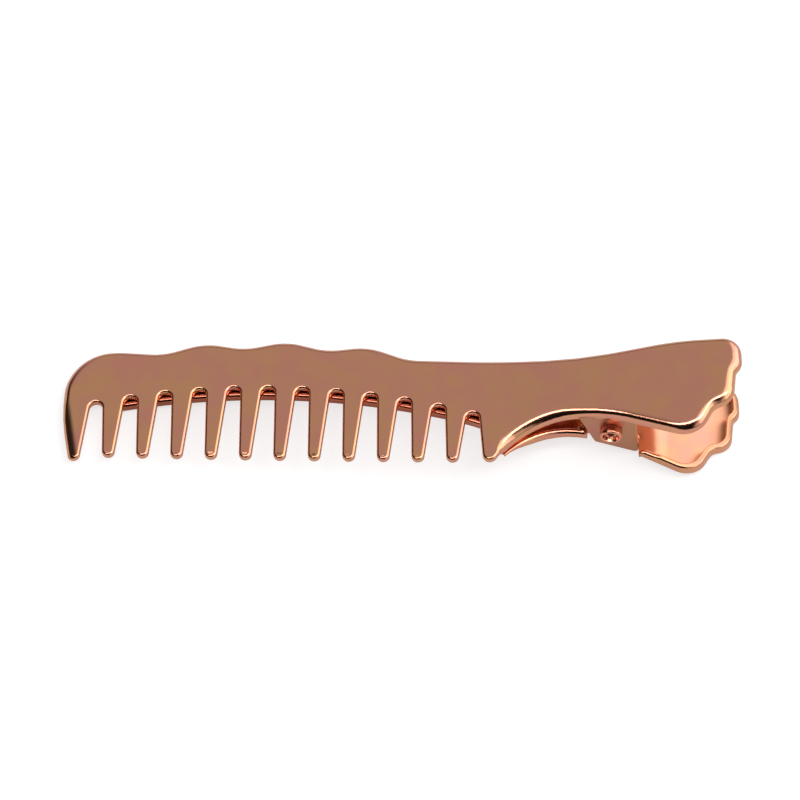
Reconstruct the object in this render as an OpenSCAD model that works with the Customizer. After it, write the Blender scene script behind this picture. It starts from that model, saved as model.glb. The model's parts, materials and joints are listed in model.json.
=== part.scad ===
// Sectioning clip: a comb-shaped spring clip with two hinged arms.
// Clip frame: X from the front end to the handle, zero at the hook's tip; Y from the tooth tips
// to the back; Z up from the comb's flat top. The finished clip is then tilted to lie on a table.

/* [Comb] */
// Number of slots between the teeth
slot_count = 12; // [8:1:16]
// Distance between neighbouring teeth
tooth_pitch = 3.7; // [3.2:0.1:4.6]
// Radius of a tooth's round tip
tooth_tip_r = 0.68; // [0.4:0.02:0.8]
// Radius of the round tips of the hook and of the front tooth
end_tip_r = 0.5; // [0.3:0.02:0.6]
// Radius of a slot's round end
slot_root_r = 0.72; // [0.5:0.02:0.9]
// Depth of the deepest slot
slot_depth = 9.06; // [8:0.1:11]
// Radius of the arc along the slot ends
root_arc_r = 83; // [70:1:140]
// Lean of the hook's outer flank, degrees
hook_lean = 30; // [26:1:33]
// Lean of the front tooth's outer flank, degrees
front_lean = 13; // [9:1:18]

/* [Back] */
// Width from the deepest slot to the highest crest
back_w = 6.1; // [5.4:0.1:8]
// Number of crests along the back
crest_count = 4; // [3:1:5]
// Distance from the hook's tip to the first crest
first_crest = 13.7; // [11:0.1:16]
// Distance from the last crest to the front tooth's tip
last_crest = 4; // [3:0.1:6]
// Height of a wave, from corner to corner
wave_h = 1; // [0.4:0.05:1.4]
// Radius of the waves
wave_r = 6; // [4:0.1:7]
// Radius of the front corner
front_r = 5.2; // [3:0.1:5.6]

/* [Handle] */
// Length of the handle, from the hook's tip
handle_len = 26.75; // [25:0.25:34]
// Distance from the tooth tips to the neck's near edge
neck_near = 5.2; // [4.8:0.1:5.6]
// Distance from the tooth tips to the neck's far edge
neck_far = 12.45; // [12:0.05:12.8]
// Distance from the tooth tips to the handle's near corner
handle_near = 1.95; // [1:0.05:3]
// Distance from the tooth tips to the handle's far corner
handle_far = 14.05; // [13.6:0.05:15.5]
// Rise of the handle out of the comb's plane, degrees
handle_rise = 6.5; // [4:0.5:8]

/* [Sheet] */
// Thickness of the upper sheet
plate_t = 0.9; // [0.7:0.05:1]
// Depth of the turned-down rim, sheet included
rim_h = 1.35; // [1.2:0.05:1.6]
// Thickness of the rim's wall
rim_t = 0.9; // [0.6:0.05:1.1]
// Thickness of the lower sheet
arm_t = 0.65; // [0.5:0.05:0.8]
// Height of the lower arm's turned-up lip above its floor
lip_h = 0.45; // [0.3:0.05:0.7]
// Thickness of the lip and of the hinge walls
lip_t = 0.65; // [0.5:0.05:0.8]

/* [Lower arm] */
// Drop of the lever's end below the comb's top
lever_drop = 8.9; // [8:0.1:10]
// Drop of the lower arm's underside at the hinge
floor_drop = 4.8; // [4.6:0.05:5.2]
// Gap between the jaw and the comb's underside
jaw_gap = 0.15; // [0.1:0.05:0.25]
// Room between the jaw and the rim
jaw_room = 0.35; // [0.25:0.05:0.8]
// Inset of the lower arm from the upper outline
arm_inset = 0.1; // [0:0.05:0.4]
// Distance by which the lever ends before the handle
lever_short = 0.65; // [0:0.05:1.5]

/* [Hinge] */
// Distance from the hook's tip to the pin
hinge_x = 12.8; // [12.4:0.1:13.4]
// Drop of the pin below the handle's top
pin_drop = 3.75; // [3.6:0.05:3.9]
// Diameter of the pin
pin_d = 1.6; // [1.2:0.05:1.8]
// Diameter of the pin's heads
head_d = 2.6; // [2.2:0.05:3]
// Height of the pin's heads
head_h = 0.95; // [0.6:0.05:1.3]
// Running clearance of the lower arm on the pin
pin_clear = 0.05; // [0.02:0.01:0.1]
// Clearance of the saddle on the pin
rivet_clear = 0.02; // [0.01:0.01:0.05]
// Outside width of the saddle
saddle_w = 7.4; // [7:0.1:7.8]
// Thickness of the saddle's sheet
saddle_t = 0.7; // [0.5:0.05:0.8]
// Reach of an ear in front of the pin, at its top
ear_front = 3.3; // [2.9:0.1:3.5]
// Reach of an ear behind the pin
ear_rear = 2.6; // [2.3:0.1:3]
// Length of an ear's front below the lower arm's underside
ear_below = 0.3; // [0:0.05:0.5]
// Extra length of an ear's rear
ear_tail = 0.7; // [0:0.05:0.8]
// Side clearance between an ear and the lower arm
side_clear = 0.15; // [0.1:0.05:0.3]

/* [Spring] */
// Diameter of the spring's wire
wire_d = 0.45; // [0.35:0.05:0.5]
// Radius of a coil, to the wire's centre
coil_r = 1.3; // [1.2:0.05:1.4]
// Full turns in each coil, on top of the part turn between its legs
coil_turns = 1; // [0:1:1]
// Distance between the two middle strands
bridge_w = 1; // [0.95:0.05:1.2]
// Reach of the legs and of the middle loop past the pin
leg_reach = 6.7; // [5:0.1:7.5]

/* [Hidden] */
$fn = 64;

rose_gold = [0.80, 0.52, 0.43];
deep_rose = [0.72, 0.45, 0.37];
bright_steel = [0.78, 0.78, 0.80];

arc_step = 12;      // largest step along an arc, degrees
reach = 60;         // half height of the blocks that cut an outline out
far_out = 200;      // a length that passes every edge
arc_lead = 2.3;     // the deepest slot lies this far in front of the comb's middle
front_reach = 0.2;  // the front tooth leans out by this much
crest_more = 3;     // the arc along the crests has a radius larger by this much
crest_arc_r = root_arc_r + crest_more;

comb_len = slot_count * tooth_pitch;
arc_x = -comb_len / 2 - arc_lead;
wave_pitch = (comb_len - first_crest - last_crest) / (crest_count - 1);
hinge_y = (neck_near + neck_far) / 2;

// Plane geometry

function unit(v) = v / norm(v);
function polar(r, a) = r * [cos(a), sin(a)];
function turned(v) = [-v[1], v[0]];

// Points of an arc about c from angle a0 to a1
function arc(c, r, a0, a1) =
    let (n = max(2, ceil(abs(a1 - a0) / arc_step)))
    [for (i = [0:n]) c + polar(r, a0 + (a1 - a0) * i / n)];

// Points that round the corner b between a and c
function rounding(a, b, c, r) =
    let (
        u = unit(a - b),
        v = unit(c - b),
        half = acos(u * v) / 2,
        centre = b + unit(u + v) * r / sin(half),
        from = b + u * r / tan(half) - centre,
        to = b + v * r / tan(half) - centre,
        a0 = atan2(from[1], from[0]),
        a1 = atan2(to[1], to[0]),
        sweep = a1 - a0 - 360 * round((a1 - a0) / 360)
    )
    arc(centre, r, a0, a0 + sweep);

function flat(c) = [c[0], c[1]];

// An open path through corners [x, y, radius]; its two ends stay sharp
function path(corners) =
    let (last = len(corners) - 1)
    [
        for (i = [0:last])
            each i == 0 || i == last || corners[i][2] == 0
                ? [flat(corners[i])]
                : rounding(flat(corners[i - 1]), flat(corners[i]), flat(corners[i + 1]), corners[i][2])
    ];

// The same open path moved to its left by d
function moved_left(points, d) =
    let (last = len(points) - 1)
    [
        for (i = [0:last])
            let (
                into = unit(points[max(i, 1)] - points[max(i, 1) - 1]),
                out = unit(points[min(i, last - 1) + 1] - points[min(i, last - 1)]),
                side = unit(turned(into) + turned(out))
            )
            points[i] + side * d / (side * turned(into))
    ];

function on_line(a, b, x) = [x, a[1] + (x - a[0]) * (b[1] - a[1]) / (b[0] - a[0])];
function reversed(list) = [for (i = [len(list) - 1:-1:0]) list[i]];
function band(points, d) = concat(points, reversed(moved_left(points, d)));
function xs(points) = [for (p = points) p[0]];
function ys(points) = [for (p = points) p[1]];

// Teeth: round tips and slot ends joined by straight flanks that touch both

function root_y(x) = slot_depth - root_arc_r + sqrt(pow(root_arc_r, 2) - pow(x - arc_x, 2));
function tip_r(k) = k == 0 || k == slot_count ? end_tip_r : tooth_tip_r;
function tip_centre(k) = [-k * tooth_pitch - (k == slot_count ? front_reach : 0), tip_r(k)];
function slot_x(k) = (0.5 - k) * tooth_pitch;
function slot_centre(k) = [slot_x(k), root_y(slot_x(k)) - slot_root_r];
function flank_up(k) =
    let (d = slot_centre(k) - tip_centre(k))
    atan2(d[1], d[0]) + asin((tip_r(k) + slot_root_r) / norm(d));
function flank_down(k) =
    let (d = tip_centre(k - 1) - slot_centre(k))
    atan2(d[1], d[0]) - asin((tip_r(k - 1) + slot_root_r) / norm(d));
function tip_from(k) = (k == slot_count ? front_lean - 90 : flank_down(k + 1)) - 90;
function tip_to(k) = (k == 0 ? 90 - hook_lean : flank_up(k)) - 90;

teeth = [
    for (k = [slot_count:-1:0])
        each concat(
            arc(tip_centre(k), tip_r(k), tip_from(k), tip_to(k)),
            k == 0 ? [] : arc(slot_centre(k), slot_root_r, flank_up(k) + 90, flank_down(k) + 90)
        )
];

// The rest of the outline: hook, neck, scalloped handle end, wavy back and front corner

hook_end = teeth[len(teeth) - 1];
front_end = teeth[0];
hook_r = 9.3;
neck_r = 14;
waist_r = 40;
shoulder_r = 25;
neck_lead = 0.4;      // corners of the neck, in front of the pin
waist_lead = 3.8;
shoulder_back = 7.2;  // corner of the shoulder, in front of the handle's end
hook_corner = [hook_end[0] + (neck_near - hook_end[1]) * tan(hook_lean), neck_near, hook_r];
neck_corner = [hinge_x - neck_lead, neck_near, neck_r];
waist_corner = [hinge_x - waist_lead, neck_far, waist_r];
shoulder_corner = [handle_len - shoulder_back, handle_far, shoulder_r];

// Corners of the handle's end: distance from the end, share of the end's width, radius
end_corners = [[-4.45, 0, 2.6], [-2.8, 0.285, 1.2], [-0.75, 0.355, 2],
               [-0.65, 0.64, 1], [0, 0.7, 1], [-0.3, 1, 2.2]];
handle_end = [
    for (c = end_corners) [handle_len + c[0], handle_near + c[1] * (handle_far - handle_near), c[2]]
];

function crest_x(k) = -first_crest - k * wave_pitch;
function crest_y(x) = slot_depth + back_w - crest_arc_r + sqrt(pow(crest_arc_r, 2) - pow(x - arc_x, 2));
crest_share = 0.15;  // share of a wave by which a crest's corner stands outside its round top
crest_over = wave_h * crest_share;
waves = [
    for (k = [0:crest_count - 1])
        each [
            let (x = crest_x(k) + wave_pitch / 2) [x, crest_y(x) + crest_over - wave_h, wave_r],
            let (x = crest_x(k)) [x, crest_y(x) + crest_over, wave_r]
        ]
];

knee_y = 5;
knee_r = 20;
corner_out = 0.25;  // the front corner stands outside the knee and below the last crest
corner_low = 0.2;
front_knee = [front_end[0] - (knee_y - front_end[1]) * tan(front_lean), knee_y, knee_r];
front_corner = [front_knee[0] - corner_out, waves[len(waves) - 1][1] - corner_low, front_r];

perimeter = path(concat(
    [hook_end, hook_corner, neck_corner], handle_end, [shoulder_corner, waist_corner], waves,
    [front_corner, front_knee, front_end]
));
outline = concat(teeth, perimeter);

// Side views: the upper sheet bends up into the handle

bend_x = 0;
bend_r = 60;
function top_z(x) = max(0, (x - bend_x) * tan(handle_rise));
top_line = path([[-far_out, 0], [bend_x, 0, bend_r], [far_out, top_z(far_out)]]);
function lowered(points, d) = [for (p = points) [p[0], p[1] - d]];
function layer(points, from, to) = concat(lowered(points, to), reversed(lowered(points, from)));

pin_at = [hinge_x, top_z(hinge_x) - pin_drop];

// The lower arm's underside: jaw, ramp down to the hinge, lever
edge_h = arm_t + lip_h;
ramp_x = -2;
floor_bend_r = 25;
corner_lead = 0.8;
corner_x = hinge_x - corner_lead;
jaw_under = -plate_t - jaw_gap - edge_h;
ramp_slope = (floor_drop + jaw_under) / (corner_x - ramp_x);
lever_slope = (lever_drop - floor_drop) / (handle_len - corner_x);
function floor_z(x) = -floor_drop - (x - corner_x) * (x > corner_x ? lever_slope : ramp_slope);
floor_line = path([
    [-far_out, jaw_under],
    [ramp_x, jaw_under, floor_bend_r],
    [corner_x, -floor_drop, floor_bend_r],
    [far_out, floor_z(far_out)]
]);

// The lower arm's plan: it follows the upper outline, and is slim between the ears

arm_half = saddle_w / 2 - saddle_t - side_clear;
ear_from = hinge_x - ear_front;
ear_to = hinge_x + ear_rear;
arm_from = 1.6;        // on the far side the arm comes out from under the rim here
step_run = 0.15;       // length of the steps where the arm narrows between the ears
ear_room = 0.45;
jaw_step = 2;
slim_from = ear_from + ear_room;
slim_to = ear_to + step_run;
neck_to = slim_from - step_run;
jaw_tip = slot_x(slot_count) + jaw_room;
jaw_w = back_w - wave_h - rim_t - jaw_room;
jaw_round = 1.8;
jaw_ease = 1.4;        // room for the tip's round corners, in radii
jaw_lead = jaw_ease * jaw_round;
jaw_parts = 10;
inner = moved_left(perimeter, arm_inset);
neck = [for (p = inner) if (p[0] > arm_from && p[0] < neck_to) p];
near_neck = concat([for (p = neck) if (p[1] < hinge_y) p], [[neck_to, neck_near + arm_inset]]);
far_neck = [for (p = neck) if (p[1] > hinge_y) p];
lever_from = slim_to + step_run + lever_short;
lever_rim = concat(
    [on_line(neck_corner, handle_end[0], lever_from) + [0, arm_inset]],
    [for (p = inner) if (p[0] > lever_from) p],
    [on_line(waist_corner, shoulder_corner, lever_from) - [0, arm_inset]]
);
lever_end = [for (p = lever_rim) p - [lever_short, 0]];
slim_near = [[slim_from, hinge_y - arm_half], [slim_to, hinge_y - arm_half]];
slim_far = [[slim_to, hinge_y + arm_half], [slim_from, hinge_y + arm_half]];
lobe_up = 0.9;         // the arm starts this far up the hook's outer flank
lobe_step = [-0.7, 0.4];
lobe_tip = hook_end + polar(lobe_up, 90 - hook_lean) + polar(arm_inset, 180 - hook_lean);
lobe_in = lobe_tip + lobe_step;
wide_far = [arm_from, far_neck[len(far_neck) - 1][1]];
jaw_start = jaw_tip + jaw_lead;
jaw_run = arm_from - jaw_step - jaw_start;
jaw_xs = [for (i = [0:jaw_parts]) jaw_start + jaw_run * i / jaw_parts];
jaw_near = [for (x = jaw_xs) [x, root_y(x)]];
jaw_far = [for (x = reversed(jaw_xs)) [x, root_y(x) + jaw_w]];
tip_far = rounding(jaw_far[jaw_parts], [jaw_tip, root_y(jaw_tip) + jaw_w], [jaw_tip, 0], jaw_round);
tip_near = rounding([jaw_tip, far_out], [jaw_tip, root_y(jaw_tip)], jaw_near[0], jaw_round);
arm_edge = concat(
    [lobe_tip], near_neck, slim_near, lever_end, slim_far, far_neck,
    [wide_far], jaw_far, tip_far, tip_near, jaw_near
);
arm_outline = concat(arm_edge, [lobe_in]);

// Side view of the walls that carry the pin
boss_wall = 0.7;
boss_wide = 0.9;   // half width and corner radius of the top, in boss radii
boss_soft = 0.8;
boss_r = pin_d / 2 + boss_wall;
boss_half = boss_r * boss_wide;
boss_round = boss_r * boss_soft;
boss_side = concat(
    path([
        [slim_from, floor_z(slim_from) + edge_h],
        [pin_at[0] - boss_half, pin_at[1] + boss_r, boss_round],
        [pin_at[0] + boss_half, pin_at[1] + boss_r, boss_round],
        [slim_to, floor_z(slim_to) + edge_h]
    ]),
    [[slim_to, floor_z(slim_to)], [corner_x, -floor_drop], [slim_from, floor_z(slim_from)]]
);

// Saddle: a web against the underside of the sheet and two ears outside the lower arm
foot_round = 0.5;
ear_slant = 1.4;   // the ear's front edge runs back by this much
web_front = 0.6;   // the web stops short of the ears' front and rear edges
web_rear = 0.9;
foot_front = ear_from + ear_slant;
web_from = ear_from + web_front;
web_to = ear_to - web_rear;
function under_z(x, d) = top_z(x) - plate_t - d;
function foot_z(x, d) = floor_z(x) - ear_below - d;
ear_side = path([
    [ear_from, under_z(ear_from, 0)],
    [foot_front, foot_z(foot_front, 0), foot_round],
    [ear_to, foot_z(ear_to, ear_tail), foot_round],
    [ear_to, under_z(ear_to, 0)]
]);
web_side = [
    [web_from, under_z(web_from, saddle_t)],
    [web_to, under_z(web_to, saddle_t)],
    [web_to, under_z(web_to, 0)],
    [web_from, under_z(web_from, 0)]
];
// The rim is left out over the ears
seat_side = [
    [ear_from, under_z(ear_from, 0)],
    [ear_to, under_z(ear_to, 0)],
    [ear_to, -reach],
    [ear_from, -reach]
];

// Spring: two coils on the pin, a loop on the lever's floor and two legs under the handle

spring_room = 0.1;
coil_out = arm_half - lip_t - wire_d / 2 - spring_room;
coil_in = bridge_w / 2;
leg_x = hinge_x + leg_reach;
leg_z = top_z(leg_x) - plate_t - wire_d / 2 - spring_room;
loop_z = floor_z(leg_x) + arm_t + wire_d / 2 + spring_room;

// Angle at which a strand to the point [dx, dz] leaves a circle of radius r, above or below
function leaves(dx, dz, r, way) = atan2(dz, dx) + way * acos(r / norm([dx, dz]));
leg_angle = leaves(leg_x - pin_at[0], leg_z - pin_at[1], coil_r, 1);
loop_angle = leaves(leg_x - pin_at[0], loop_z - pin_at[1], coil_r, -1) + 360;
coil_sweep = loop_angle - leg_angle + 360 * coil_turns;
curl_rings = 8;
loop_step = 30;
coil_n = ceil(coil_sweep / 360 * curl_rings);
function coil_point(s) =
    let (a = leg_angle + coil_sweep * s)
    [pin_at[0] + coil_r * cos(a), coil_out + (coil_in - coil_out) * s, pin_at[1] + coil_r * sin(a)];
half_wire = concat(
    [[leg_x, coil_out, leg_z], [leg_x - wire_d, coil_out, leg_z - wire_d * tan(leg_angle - 90)]],
    [for (i = [0:coil_n]) coil_point(i / coil_n)],
    [for (a = [90:-loop_step:loop_step]) [leg_x + coil_in * cos(a), coil_in * sin(a), loop_z]]
);
loop_mid = [[leg_x + coil_in, 0, loop_z]];
function mirrored(points) = [for (p = reversed(points)) [p[0], -p[1], p[2]]];
wire = concat(half_wire, loop_mid, mirrored(half_wire));

// Least gap between strands, leaving out the rings next to each other along the wire
near_rings = 7;
gap_step = 0.25;
function segment_gap(i, j) =
    min([for (s = [0:gap_step:1], t = [0:gap_step:1])
        norm(wire[i] + (wire[i + 1] - wire[i]) * s - wire[j] - (wire[j + 1] - wire[j]) * t)]);
last_ring = len(wire) - 2;
wire_gap = -wire_d + min([
    for (i = [0:last_ring - near_rings], j = [i + near_rings:last_ring]) segment_gap(i, j)
]);
echo(spring_least_gap = wire_gap);

// A tube of six sides swept along points
tube_sides = 6;
function tube_dir(p, i) = unit(p[min(i + 1, len(p) - 1)] - p[max(i - 1, 0)]);
function carried(side, dir) = unit(side - dir * (side * dir));
function tube_sides_along(p, i, side) =
    i == len(p) ? [] :
    let (s = carried(side, tube_dir(p, i)))
    concat([s], tube_sides_along(p, i + 1, s));

module tube(points, d) {
    n = len(points);
    sides = tube_sides_along(points, 0, [0, 1, 0]);
    rings = [
        for (i = [0:n - 1], k = [0:tube_sides - 1])
            let (u = sides[i], v = cross(tube_dir(points, i), u), a = 360 * k / tube_sides)
            points[i] + (u * cos(a) + v * sin(a)) * d / 2
    ];
    skin = [
        for (i = [0:n - 2], k = [0:tube_sides - 1])
            let (
                a = i * tube_sides + k,
                b = i * tube_sides + (k + 1) % tube_sides
            )
            each [[a, a + tube_sides, b], [b, a + tube_sides, b + tube_sides]]
    ];
    first_cap = [for (k = [1:tube_sides - 2]) [0, k, k + 1]];
    base = (n - 1) * tube_sides;
    last_cap = [for (k = [1:tube_sides - 2]) [base, base + k + 1, base + k]];
    polyhedron(rings, concat(skin, first_cap, last_cap));
}

// Solids cut from a plan and from a side view
module plan(points) {
    translate([0, 0, -reach]) linear_extrude(2 * reach) polygon(points);
}
module side(points, from = -reach, to = reach) {
    translate([0, to, 0]) rotate([90, 0, 0]) linear_extrude(to - from) polygon(points);
}
module across(r, from, to) {
    translate([pin_at[0], to, pin_at[1]]) rotate([90, 0, 0]) cylinder(r = r, h = to - from);
}

// The clip lies on the jaw's tip and on the lever's end
front_x = min(xs(outline));
lever_x = max(xs(lever_end));
lever_foot = floor_z(lever_x);
tilt = atan2(jaw_under - lever_foot, lever_x - jaw_tip);
x_low = front_x * cos(tilt);
x_high = lever_x * cos(tilt) - lever_foot * sin(tilt);
y_mid = (min(ys(outline)) + max(ys(outline))) / 2;
rest_z = lever_x * sin(tilt) + lever_foot * cos(tilt);
module placed() {
    translate([-(x_low + x_high) / 2, -y_mid, -rest_z]) rotate([0, -tilt, 0]) children();
}
function at(p) = [
    p[0] * cos(tilt) - p[2] * sin(tilt) - (x_low + x_high) / 2,
    p[1] - y_mid,
    p[0] * sin(tilt) + p[2] * cos(tilt) - rest_z
];
echo(pin = at([pin_at[0], hinge_y, pin_at[1]]), tilt = tilt);
echo(comb_top = at([arc_x, slot_depth + back_w / 2, 0]));

module comb_plate() {
    color(rose_gold) placed() {
        intersection() {
            plan(outline);
            side(layer(top_line, 0, plate_t));
        }
        difference() {
            intersection() {
                plan(outline);
                plan(band(perimeter, rim_t));
                side(layer(top_line, plate_t / 2, rim_h));
            }
            side(seat_side);
        }
    }
}

module hinge_saddle() {
    color(deep_rose) placed() translate([0, hinge_y, 0])
        difference() {
            union() {
                side(web_side, -saddle_w / 2, saddle_w / 2);
                side(ear_side, -saddle_w / 2, saddle_t - saddle_w / 2);
                side(ear_side, saddle_w / 2 - saddle_t, saddle_w / 2);
            }
            across(pin_d / 2 + rivet_clear, -reach, reach);
        }
}

dome_share = 0.55;  // share of a head's height that is domed
module hinge_rivet() {
    half = saddle_w / 2;
    dome = head_h * dome_share;
    dome_r = (pow(head_d / 2, 2) + pow(dome, 2)) / (2 * dome);
    head = concat(
        [[0, half], [head_d / 2, half]],
        arc([0, half + head_h - dome_r], dome_r, asin((dome_r - dome) / dome_r), 90)
    );
    color(rose_gold) placed() translate([pin_at[0], hinge_y, pin_at[1]]) {
        rotate([90, 0, 0]) cylinder(d = pin_d, h = saddle_w, center = true);
        for (a = [-90, 90]) rotate([a, 0, 0]) rotate_extrude() polygon(head);
    }
}

module lower_arm() {
    color(deep_rose) placed()
        difference() {
            union() {
                intersection() {
                    plan(arm_outline);
                    side(layer(floor_line, -arm_t, 0));
                }
                intersection() {
                    plan(arm_outline);
                    plan(band(arm_edge, lip_t));
                    union() {
                        side(layer(floor_line, -edge_h, 0));
                        side(boss_side);
                    }
                }
            }
            across(pin_d / 2 + pin_clear, -reach, reach);
        }
}

module torsion_spring() {
    color(bright_steel) placed() translate([0, hinge_y, 0]) tube(wire, wire_d);
}

comb_plate();
hinge_saddle();
hinge_rivet();
lower_arm();
torsion_spring();
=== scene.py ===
"""Sectioning clip: the looks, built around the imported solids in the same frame."""

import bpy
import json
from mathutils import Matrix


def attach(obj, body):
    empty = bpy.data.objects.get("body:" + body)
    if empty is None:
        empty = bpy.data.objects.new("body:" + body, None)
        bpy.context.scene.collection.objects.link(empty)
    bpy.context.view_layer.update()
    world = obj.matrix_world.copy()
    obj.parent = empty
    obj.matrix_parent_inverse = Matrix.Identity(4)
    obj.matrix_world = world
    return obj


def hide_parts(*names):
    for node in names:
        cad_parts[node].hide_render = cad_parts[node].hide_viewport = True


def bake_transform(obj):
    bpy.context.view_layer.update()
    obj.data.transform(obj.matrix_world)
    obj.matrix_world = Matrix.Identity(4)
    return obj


bl_info = {
    "name": "Sectioning clip",
    "version": (1, 0, 0),
    "blender": (4, 5, 0),
    "location": "3D View > Sidebar > Clip",
    "description": "Builds a comb-shaped sectioning clip with its hinge, spring and stage",
    "category": "Add Mesh",
}

import json
from math import acos, asin, atan2, ceil, cos, exp, pi, radians, sin, sqrt, tan

import bmesh
import bpy
from bpy.props import FloatProperty, FloatVectorProperty, IntProperty, PointerProperty
from bpy.types import Operator, Panel, PropertyGroup
from mathutils import Matrix, Vector

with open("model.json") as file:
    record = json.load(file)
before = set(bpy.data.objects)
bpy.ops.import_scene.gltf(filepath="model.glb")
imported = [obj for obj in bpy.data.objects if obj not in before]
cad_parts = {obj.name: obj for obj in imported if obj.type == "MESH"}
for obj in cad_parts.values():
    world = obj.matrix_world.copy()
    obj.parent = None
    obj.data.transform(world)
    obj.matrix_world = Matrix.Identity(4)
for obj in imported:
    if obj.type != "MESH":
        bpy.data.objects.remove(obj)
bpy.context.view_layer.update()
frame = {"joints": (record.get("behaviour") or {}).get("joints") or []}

MM = 0.001
PIN_ROW = Vector(frame["joints"][0]["pos_m"])


def length(name, about, size):
    """A length property; size is in millimetres, the property in metres."""
    return FloatProperty(name=name, description=about, default=size * MM, min=0.0, unit="LENGTH", precision=5)


def angle(name, about, degrees):
    """An angle property."""
    return FloatProperty(name=name, description=about, default=radians(degrees), subtype="ANGLE")


def count(name, about, number):
    """A whole number property."""
    return IntProperty(name=name, description=about, default=number, min=1)


def share(name, about, value):
    """A plain number property between 0 and 1."""
    return FloatProperty(name=name, description=about, default=value, min=0.0, max=1.0, subtype="FACTOR")


def tint(name, about, rgb):
    """A colour property."""
    return FloatVectorProperty(name=name, description=about, default=rgb, size=3, subtype="COLOR",
                               min=0.0, max=1.0)


def position(name, about, metres):
    """A place property."""
    return FloatVectorProperty(name=name, description=about, default=metres, size=3, subtype="TRANSLATION",
                               unit="LENGTH")


class ClipCombSizes(PropertyGroup):
    """Sizes of the comb, its back and its handle."""

    slots: count("Slots", "Slots between the teeth", 12)
    pitch: length("Tooth pitch", "Distance between neighbouring teeth", 3.7)
    tip_r: length("Tip radius", "Radius of a tooth's tip", 0.68)
    hook_tip_r: length("Hook tip radius", "Radius of the hook's tip", 0.78)
    hook_reach: length("Hook reach", "Reach of the leaning hook", 0.28)
    front_tip_r: length("Front tip radius", "Radius of the front tooth's tip", 0.68)
    root_r: length("Slot radius", "Radius of a slot's end", 0.72)
    slot_depth: length("Slot depth", "Depth of the deepest slot", 9.06)
    root_arc_r: length("Slot arc", "Radius of the arc along the slot ends", 83)
    arc_lead: length("Arc lead", "Lead of the deepest slot over the comb's middle", 2.3)
    front_reach: length("Front reach", "Reach of the leaning front tooth", 0.02)
    hook_lean: angle("Hook lean", "Lean of the hook's outer flank", 28)
    front_lean: angle("Front lean", "Lean of the front tooth's outer flank", 13)
    back_w: length("Back width", "Width from the deepest slot to the highest crest", 6.1)
    crests: count("Crests", "Crests along the back", 4)
    first_crest: length("First crest", "From the hook's tip to the first crest", 13.7)
    last_crest: length("Last crest", "From the last crest to the front tooth's tip", 4)
    wave_h: length("Wave height", "Height of a wave", 1)
    wave_r: length("Wave radius", "Radius of the waves", 6)
    front_r: length("Front radius", "Radius of the front corner", 5.2)
    handle_len: length("Handle length", "Length of the handle from the hook's tip", 26.75)
    neck_near: length("Neck near", "From the tooth tips to the neck's near edge", 5.2)
    neck_far: length("Neck far", "From the tooth tips to the neck's far edge", 12.45)
    handle_near: length("Handle near", "From the tooth tips to the handle's near corner", 1.95)
    handle_far: length("Handle far", "From the tooth tips to the handle's far corner", 14.05)
    rise: angle("Handle rise", "Rise of the handle out of the comb's plane", 6.5)
    bend_r: length("Bend radius", "Radius of the bend between comb and handle", 60)
    sheet: length("Sheet", "Thickness of the upper sheet", 0.9)
    rim_h: length("Rim height", "Depth of the rim, sheet included", 1.35)
    rim_t: length("Rim wall", "Thickness of the rim's wall", 0.9)
    edge_r: length("Edge radius", "Radius of the outer edge", 1.2)
    grip_edge_r: length("Grip edge radius", "Radius of the handle's near edge", 0.8)
    tooth_edge_r: length("Tooth edge radius", "Radius of the teeth's top edges", 0.3)
    tooth_under_r: length("Tooth under radius", "Radius of the teeth's under edges", 0.28)
    under_r: length("Under edge radius", "Radius of the rim's under edge", 0.12)
    tip_rise: length("Tip rise", "Rise of the tooth tips towards the front", 0.45)
    roll_r: length("Roll radius", "Radius of the front tooth's rolled outer side", 1.9)


class ClipArmSizes(PropertyGroup):
    """Sizes of the lower arm."""

    sheet: length("Sheet", "Thickness of the lower sheet", 0.65)
    lip_h: length("Lip height", "Height of the lip above the floor", 0.45)
    lip_t: length("Lip wall", "Thickness of the lip", 0.65)
    lip_r: length("Lip radius", "Radius of the lip's outer top edge", 0.42)
    lip_in_r: length("Lip inner radius", "Radius of the lip's inner top edge", 0.2)
    under_r: length("Under edge radius", "Radius of the underside's edge", 0.3)
    fillet: length("Fillet", "Radius between floor and lip", 0.15)
    lever_drop: length("Lever drop", "Drop of the lever's end below the comb's top", 8.9)
    floor_drop: length("Floor drop", "Drop of the underside at the hinge", 4.8)
    jaw_gap: length("Jaw gap", "Gap between the jaw and the comb's underside", 0.15)
    jaw_show: length("Jaw show", "Width of the jaw that shows in the slots", 0.55)
    jaw_room: length("Jaw room", "Room between the jaw and the rim", 0.35)
    inset: length("Inset", "Inset from the upper outline", 0.1)
    short: length("Lever short", "Distance between the ends of lever and handle", 0.65)


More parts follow.
